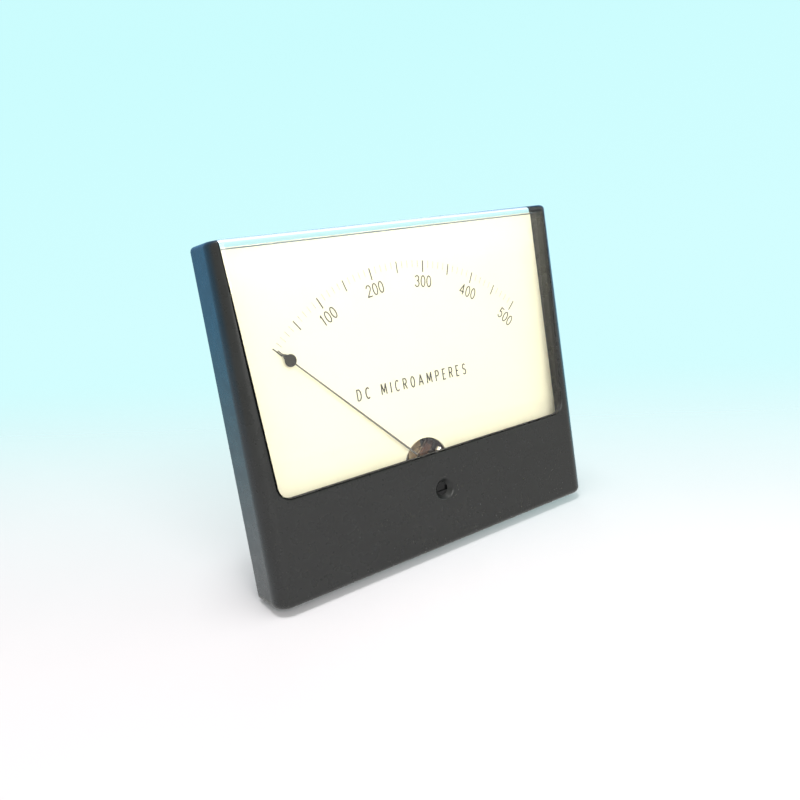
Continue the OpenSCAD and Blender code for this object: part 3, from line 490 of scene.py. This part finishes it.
class Print:
    """Strokes laid on the dial's face as thin closed ribbons."""

    def __init__(self):
        self.points, self.faces = [], []

    def stroke(self, path, width, place):
        """Ribbons along a path of (x, z) points put on the dial by place, parted at its corners."""
        path = [Vector(place(x, z)) for x, z in path]
        run = path[:1]
        for p, after in zip(path[1:], path[2:]):
            come, go = p - run[-1], after - p
            turn = go.angle(come, 0)
            if turn > SHARP_TURN:
                past = math.sin(turn) * width / 2
                self.ribbon(run + [p + come.normalized() * past], width)
                run = [p - go.normalized() * past]
            else:
                run.append(p)
        self.ribbon(run + path[-1:], width)

    def ribbon(self, path, width):
        """A closed flat strip along a smooth path on the dial's face."""
        closed = (path[0] - path[-1]).length < CLOSED_GAP
        if closed:
            path = path[:-1]
        n = len(path)
        first = len(self.points)
        for i, p in enumerate(path):
            before = path[i - 1] if closed or i else p
            after = path[(i + 1) % n] if closed or i < n - 1 else p
            a = (p - before).normalized() if p != before else (after - p).normalized()
            b = (after - p).normalized() if p != after else a
            side = Vector((-(a + b).y, (a + b).x)).normalized()
            mitre = 1 / max(0.3, side.dot(Vector((-a.y, a.x))))
            reach = min(MITRE_LIMIT, mitre) * width / 2
            for q in (p + side * reach, p - side * reach):
                for y in (PRINT_Y - PRINT_T, PRINT_Y + PRINT_T / 3):
                    self.points.append((q.x * MM, y * MM, q.y * MM))
        for i in range(n if closed else n - 1):
            a = first + 4 * i
            b = first + 4 * ((i + 1) % n)
            self.faces += [(a, b, b + 2, a + 2), (a + 1, a + 3, b + 3, b + 1)]
            self.faces += [(a, a + 1, b + 1, b), (a + 2, b + 2, b + 3, a + 3)]
        if not closed:
            for a in (first, first + 4 * (n - 1)):
                self.faces.append((a, a + 2, a + 3, a + 1))

    def words(self, text, height, gap, width, place, widths, space):
        """Adds the strokes of signs that stand side by side, centred on the place."""
        sizes = [space if c == " " else widths.get(c, PLAIN_WIDTH) for c in text]
        full = sum(sizes) + gap * sum(
            1 for a, b in zip(text, text[1:]) if a != " " and b != " "
        )
        x = -full / 2
        for c, size, after in zip(text, sizes, text[1:] + " "):
            for path in GLYPHS.get(c, []):
                self.stroke(
                    [(x + u * size, (v - 0.5) * height) for u, v in path], width, place
                )
            x += size + (gap if c != " " and after != " " else 0)

    def piece(self, name, material):
        """Makes one object of the strokes so far."""
        new_piece(name, new_mesh(name, self.points, self.faces, material), "case")


def round_pivot(angle, r):
    """Puts x across and z outwards at a radius and an angle clockwise from the top."""
    a = math.radians(angle)

    def place(x, z):
        out = r + z
        return (out * math.sin(a) + x * math.cos(a), PIVOT_Z + out * math.cos(a) - x * math.sin(a))

    return place


def scale_angle(value):
    """Where a value stands on the scale, in degrees clockwise from the top."""
    return ZERO_ANGLE + (FULL_ANGLE - ZERO_ANGLE) * value / FULL_SCALE


majors, minors, numerals, legend = Print(), Print(), Print(), Print()
for value in range(0, FULL_SCALE + 1, 10):
    place = round_pivot(scale_angle(value), SCALE_R)
    if value % 100 == 0:
        ticks, (length, width) = majors, HUNDRED_TICK
    elif value % 50 == 0:
        ticks, (length, width) = majors, FIFTY_TICK
    else:
        ticks, (length, width) = minors, TEN_TICK
    ticks.stroke([(0, -length), (0, 0)], width, place)
for value in range(100, FULL_SCALE + 1, 100):
    numerals.words(
        str(value), NUMERAL_HEIGHT, NUMERAL_GAP, NUMERAL_STROKE,
        round_pivot(scale_angle(value), NUMERAL_R), NUMERAL_WIDTHS, NUMERAL_SPACE,
    )
legend.words(
    "DC MICROAMPERES", LEGEND_HEIGHT, LEGEND_GAP, LEGEND_STROKE,
    lambda x, z: (x + LEGEND_X, LEGEND_Z + z), WIDTHS, LEGEND_SPACE,
)
majors.piece("scale_ticks", print_ink)
minors.piece("scale_fine_ticks", fine_ink)
numerals.piece("scale_numerals", print_ink)
legend.piece("unit_legend", print_ink)


# ---------------------------------------------------------------- threaded studs


def about_y(x, z, y, radius, turn):
    """A point in metres, at a radius and an angle round an axis along Y through (x, z)."""
    return ((x + radius * math.cos(turn)) * MM, y * MM, (z + radius * math.sin(turn)) * MM)


def tube_faces(rings, around):
    """The faces of a tube of rings of points, with its two ends capped."""
    faces = []
    for i in range(rings - 1):
        for j in range(around):
            a, b = i * around + j, i * around + (j + 1) % around
            faces.append((a, a + around, b + around, b))
    faces.append(tuple(range(around)))
    last = (rings - 1) * around
    faces.append(tuple(last + j for j in reversed(range(around))))
    return faces


def threaded_rod(parts, x, z, y0, y1, r, pitch, tip):
    """Adds a rod along Y with a cut thread and a bevelled end to a list of (points, faces)."""
    around, per_turn = 28, 6
    # The thread's depth, and how fast its flanks fall from the groove's middle to the crest
    depth, steepness = 0.55 * pitch, 1.15
    rows = int((y1 - y0) / pitch * per_turn)
    points = []
    for i in range(rows + 1):
        y = y0 + (y1 - y0) * i / rows
        ease = min(1.0, (y - y0) / pitch)
        for j in range(around):
            turn = (y / pitch + j / around) % 1.0
            cut = depth * (1 - abs(2 * turn - 1) * steepness)
            radius = r - ease * min(depth, max(0.0, cut))
            radius = min(radius, r - tip + (y1 - y) + 0.05)
            points.append(about_y(x, z, y, radius, 2 * math.pi * j / around))
    parts.append((points, tube_faces(rows + 1, around)))


HEX_SIDES, ROUND_SIDES = 6, 36


def lathe(parts, x, z, profile, around=ROUND_SIDES):
    """Adds a solid turned about Y from (y, radius) pairs; the two ends are capped."""
    points = [
        about_y(x, z, y, radius, 2 * math.pi * j / around)
        for y, radius in profile
        for j in range(around)
    ]
    parts.append((points, tube_faces(len(profile), around)))


def assembled(name, parts, material, body, sharp=35):
    """One object from several closed shells, smooth but for its sharp edges."""
    points, faces = [], []
    for p, f in parts:
        base = len(points)
        points += p
        faces += [tuple(base + i for i in face) for face in f]
    mesh = new_mesh(name, points, faces, material)
    mesh.polygons.foreach_set("use_smooth", [True] * len(mesh.polygons))
    mesh.set_sharp_from_angle(angle=math.radians(sharp))
    return new_piece(name, mesh, body)


# The studs of the source, in millimetres: places, radii and stations along Y
STUD_X, STUD_Z = 44.45, 31.75
STUD_R, STUD_END, STUD_PITCH, STUD_TIP = 2.08, 16, 0.794, 0.5
STUD_HEAD_R, STUD_SHANK_R, STUD_ROOT_R = 3.4, 2.4, 1.9
STUD_HEAD_Y, STUD_SHANK_Y, STUD_ROOT_END = -2.5, -1.3, 0.6
TERMINAL_X, TERMINAL_Z = 13, 12
TERMINAL_R, TERMINAL_END, TERMINAL_PITCH, TERMINAL_TIP = 2.4, 43, 0.85, 0.6
TERMINAL_HEX_R, TERMINAL_HEX_Y, TERMINAL_HEX_END = 4.2, 22.5, 24.9
TERMINAL_THREAD_Y = 28.2
TERMINAL_RELIEF_R, TERMINAL_RELIEF_Y, TERMINAL_RELIEF_END = 2.15, 32, 33
# Neighbouring shells of a stud run into each other by this much
LAP = 0.1


def mounting_studs():
    """Studs with a head and a shank in the flange, threaded behind the panel's face."""
    parts = []
    profile = [
        (STUD_HEAD_Y, STUD_HEAD_R), (STUD_SHANK_Y, STUD_HEAD_R), (STUD_SHANK_Y, STUD_SHANK_R),
        (0, STUD_SHANK_R), (0, STUD_ROOT_R), (STUD_ROOT_END, STUD_ROOT_R),
    ]
    for x in (-STUD_X, STUD_X):
        for z in (-STUD_Z, STUD_Z):
            lathe(parts, x, z, profile)
            threaded_rod(parts, x, z, 0, STUD_END, STUD_R, STUD_PITCH, STUD_TIP)
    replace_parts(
        assembled("threaded_mounting_studs", parts, zinc, "case"),
        "mounting_studs",
    )


def terminal_studs():
    """Hexagon-headed studs through the barrel's end, threaded but for a relief behind the nut."""
    parts = []
    for x in (-TERMINAL_X, TERMINAL_X):
        rods = [
            (TERMINAL_HEX_Y, TERMINAL_HEX_END, TERMINAL_HEX_R, HEX_SIDES),
            (TERMINAL_HEX_END - LAP, TERMINAL_THREAD_Y, TERMINAL_R, ROUND_SIDES),
            (TERMINAL_RELIEF_Y - LAP, TERMINAL_RELIEF_END + LAP, TERMINAL_RELIEF_R, ROUND_SIDES),
        ]
        for y0, y1, r, sides in rods:
            lathe(parts, x, TERMINAL_Z, [(y0, r), (y1, r)], sides)
        threads = [
            (TERMINAL_THREAD_Y - LAP, TERMINAL_RELIEF_Y, 0),
            (TERMINAL_RELIEF_END, TERMINAL_END, TERMINAL_TIP),
        ]
        for y0, y1, tip in threads:
            threaded_rod(parts, x, TERMINAL_Z, y0, y1, TERMINAL_R, TERMINAL_PITCH, tip)
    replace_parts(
        assembled("threaded_terminal_studs", parts, terminal_brass, "case"),
        "terminal_studs",
    )


def adjuster_countersink():
    """The moulded cone round the zero adjuster, from the cover's face down to the screw's head."""
    low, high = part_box("zero_screw")
    x, z = (low.x + high.x) / 2 / MM, (low.z + high.z) / 2 / MM
    face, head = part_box("front_cover")[0].y / MM, low.y / MM - 0.05
    # The section, as (y, radius): out along the source's bevelled rim and bore, back along the cone
    rim_and_bore = [(face, 4.35), (face + 0.85, 3.53), (head, 3.53)]
    cone = [(head, 2.0), (face + 0.35, 3.1), (face + 0.1, 3.3), (face, 3.6)]
    ring = rim_and_bore + cone
    n, around = len(ring), 64
    points, faces = [], []
    for j in range(around):
        points += [about_y(x, z, y, radius, 2 * math.pi * j / around) for y, radius in ring]
        b, c = n * j, n * ((j + 1) % around)
        faces += [(b + i, b + (i + 1) % n, c + (i + 1) % n, c + i) for i in range(n)]
    assembled("adjuster_countersink", [(points, faces)], cover_plastic, "case")


mounting_studs()
terminal_studs()
adjuster_countersink()


# ---------------------------------------------------------------- floor, background, light

# The meter stands on the front's lower edge and the barrel's end, so it leans back on the floor
BARREL_R = 35.3
BARREL_LEN = 28
LEAN = math.atan((-BARREL_R - cad_low.z / MM) / BARREL_LEN)
# Across the floor, from the camera's side to the far side
AWAY = Vector((0.66, 0.751, 0))
FLOOR_R, FLOOR_SIDES = 0.6, 64
# The floor starts to fade and is gone at these distances in metres, along AWAY and outwards
FADE_AWAY = (-0.095, 0.235)
FADE_OUTWARDS = (0.32, 0.58)
# Glossy surfaces mirror a floor that fades sooner by this much
SOONER_IN_MIRRORS = 0.06


def floor():
    """A pale floor that fades out into the background away from the meter."""
    turns = [2 * math.pi * i / FLOOR_SIDES for i in range(FLOOR_SIDES)]
    verts = [(math.cos(a) * FLOOR_R, math.sin(a) * FLOOR_R, 0) for a in turns]
    mesh = bpy.data.meshes.new("floor")
    mesh.from_pydata(verts, [], [tuple(range(FLOOR_SIDES))])
    obj = bpy.data.objects.new("floor", mesh)
    bpy.context.scene.collection.objects.link(obj)
    obj.location = (0, 0, cad_low.z - 0.05 * MM)
    obj.rotation_euler = (LEAN, 0, 0)
    look = Look("floor", (0.84, 0.83, 0.86), 0.85, Specular_IOR_Level=0.15)
    look.tint(look.noise(60, 2), (0.85, 0.84, 0.87))
    depth = look.add("ShaderNodeVectorMath", operation="DOT_PRODUCT")
    depth.inputs[1].default_value = AWAY
    look.join(look.place, depth, 0)
    path = look.add("ShaderNodeLightPath")
    sooner = arithmetic(look, "MULTIPLY_ADD", path.outputs["Is Glossy Ray"], SOONER_IN_MIRRORS)
    look.join(depth.outputs["Value"], sooner.node, 2)
    fade = look.add("ShaderNodeMapRange")
    fade.interpolation_type = "SMOOTHSTEP"
    fade.inputs["From Min"].default_value = FADE_AWAY[0]
    fade.inputs["From Max"].default_value = FADE_AWAY[1]
    look.join(sooner, fade, "Value")
    out = look.add("ShaderNodeVectorMath", operation="LENGTH")
    look.join(look.place, out, 0)
    rim = look.add("ShaderNodeMapRange")
    rim.inputs["From Min"].default_value = FADE_OUTWARDS[0]
    rim.inputs["From Max"].default_value = FADE_OUTWARDS[1]
    look.join(out.outputs["Value"], rim, "Value")
    gone = arithmetic(look, "MAXIMUM", fade.outputs["Result"], rim.outputs["Result"])
    through = look.add("ShaderNodeBsdfTransparent")
    mix = look.add("ShaderNodeMixShader")
    look.join(gone, mix, "Fac")
    look.join(look.shader.outputs["BSDF"], mix, 1)
    look.join(through.outputs["BSDF"], mix, 2)
    look.join(mix.outputs["Shader"], look.tree.nodes["Material Output"], "Surface")
    mesh.materials.append(look.material)


# Colours from the bottom of the view of the world to its top, by height from 0 to 1
SEEN = [
    (0.04, (0.99, 0.975, 0.99)),
    (0.12, (0.86, 0.99, 1.0)),
    (0.2, (0.66, 0.99, 1.0)),
    (0.5, (0.645, 0.99, 1.0)),
    (0.8, (0.6, 0.98, 0.99)),
]
MIRRORED = [
    (0.1, (0.95, 0.97, 0.92)),
    (0.3, (0.2, 0.67, 0.86)),
    (0.48, (0.22, 0.62, 1.0)),
    (0.9, (0.2, 0.5, 0.9)),
]
# The room behind the camera, as surfaces that face it mirror it
MIRRORED_ROOM, MIRRORED_STRENGTH = (0.58, 0.58, 0.54), 1.25
FILL, FILL_STRENGTH = (1.0, 0.96, 0.905), 0.42


def background():
    """A backdrop that pales from sky blue above to white below, seen but lighting nothing."""
    world = bpy.data.worlds.new("world")
    bpy.context.scene.world = world
    world.use_nodes = True
    tree = world.node_tree
    tree.nodes.clear()

    def add(kind, **values):
        return new_node(tree, kind, **values)

    def join(out, node, key):
        tree.links.new(out, node.inputs[key])

    def ranged(out, low, high):
        """Runs from 0 to 1 as a value goes from low to high."""
        node = add("ShaderNodeMapRange")
        node.inputs["From Min"].default_value = low
        node.inputs["From Max"].default_value = high
        join(out, node, "Value")
        return node.outputs["Result"]

    def outcome(operation, a, b):
        """The outcome of one sum on a socket and a socket or number."""
        node = add("ShaderNodeMath", operation=operation)
        join(a, node, 0)
        if isinstance(b, float):
            node.inputs[1].default_value = b
        else:
            join(b, node, 1)
        return node.outputs[0]

    def ramp(fac, stops):
        node = add("ShaderNodeValToRGB")
        node.color_ramp.elements[0].position = stops[0][0]
        node.color_ramp.elements[0].color = (*stops[0][1], 1)
        node.color_ramp.elements[1].position = stops[-1][0]
        node.color_ramp.elements[1].color = (*stops[-1][1], 1)
        for position, colour in stops[1:-1]:
            node.color_ramp.elements.new(position).color = (*colour, 1)
        join(fac, node, "Fac")
        return node.outputs["Color"]

    def mixed(fac, first, second):
        node = add("ShaderNodeMixShader")
        join(fac, node, "Fac")
        join(first, node, 1)
        join(second, node, 2)
        return node.outputs["Shader"]

    parts = add("ShaderNodeSeparateXYZ")
    join(add("ShaderNodeTexCoord").outputs["Generated"], parts, "Vector")
    # By direction: how high it points, and how far it points behind the meter's face
    rise = ranged(parts.outputs["Z"], -0.5, 0.5)
    behind = ranged(parts.outputs["Y"], -0.3, 0.3)

    fill = add("ShaderNodeBackground")
    fill.inputs["Color"].default_value = (*FILL, 1)
    fill.inputs["Strength"].default_value = FILL_STRENGTH
    room = add("ShaderNodeMix", data_type="RGBA")
    room.inputs[MIX_FIRST].default_value = (*MIRRORED_ROOM, 1)
    join(behind, room, MIX_FACTOR)
    join(ramp(rise, MIRRORED), room, MIX_SECOND)
    glossy = add("ShaderNodeBackground")
    join(room.outputs[MIX_RESULT], glossy, "Color")
    glossy.inputs["Strength"].default_value = MIRRORED_STRENGTH
    shown = add("ShaderNodeBackground")
    join(ramp(rise, SEEN), shown, "Color")

    # The backdrop shows to the eye, straight or through the window, and not after a bounce
    path = add("ShaderNodeLightPath").outputs
    eye = outcome("MAXIMUM", path["Is Camera Ray"], path["Is Transmission Ray"])
    bounces = outcome("ADD", path["Diffuse Depth"], path["Glossy Depth"])
    shows = outcome("MULTIPLY", eye, outcome("LESS_THAN", bounces, 0.5))
    unseen = mixed(path["Is Glossy Ray"], fill.outputs["Background"], glossy.outputs["Background"])
    surface = mixed(shows, unseen, shown.outputs["Background"])
    join(surface, add("ShaderNodeOutputWorld"), "Surface")


LAMP_AIM = Vector((0, 0, 0.01))


def lamp(name, place, size, power, colour=(1, 1, 1)):
    """A square soft box that looks at the meter."""
    data = bpy.data.lights.new(name, "AREA")
    data.shape = "SQUARE"
    data.size = size
    data.energy = power
    data.color = colour
    obj = bpy.data.objects.new(name, data)
    bpy.context.scene.collection.objects.link(obj)
    obj.location = place
    aim = LAMP_AIM - Vector(place)
    obj.rotation_euler = aim.to_track_quat("-Z", "Y").to_euler()


floor()
background()
lamp("key_light", (-0.05, -0.15, 1.0), 0.3, 6.0, (1.0, 0.99, 0.98))
lamp("fill_light", (-0.2, -1.0, 0.35), 0.6, 5.8, (1.0, 0.99, 0.97))
lamp("side_light", (0.75, -0.5, 0.4), 0.6, 0.6)
lamp("back_light", (0.5, 0.8, 0.45), 0.6, 0.9)


# ---------------------------------------------------------------- camera


SENSOR_WIDTH, LENS = 36, 34.04
CAMERA_PLACE = (-0.12946, -0.19609, 0.04271)
CAMERA_AHEAD = (0.53864, 0.82807, -0.15544)
CAMERA_UP = (0.2163, 0.0424, 0.97541)


def camera():
    """The photographer's view: from the left, a little above, slightly rolled."""
    data = bpy.data.cameras.new("camera")
    data.sensor_width = SENSOR_WIDTH
    data.lens = LENS
    data.clip_start = 0.01
    data.clip_end = 20
    obj = bpy.data.objects.new("camera", data)
    bpy.context.scene.collection.objects.link(obj)
    ahead = Vector(CAMERA_AHEAD).normalized()
    side = ahead.cross(Vector(CAMERA_UP)).normalized()
    up = side.cross(ahead)
    turn = Matrix((side, up, -ahead)).transposed().to_4x4()
    obj.matrix_world = Matrix.Translation(CAMERA_PLACE) @ turn
    bpy.context.scene.camera = obj


camera()
bpy.context.scene.view_settings.view_transform = "Standard"
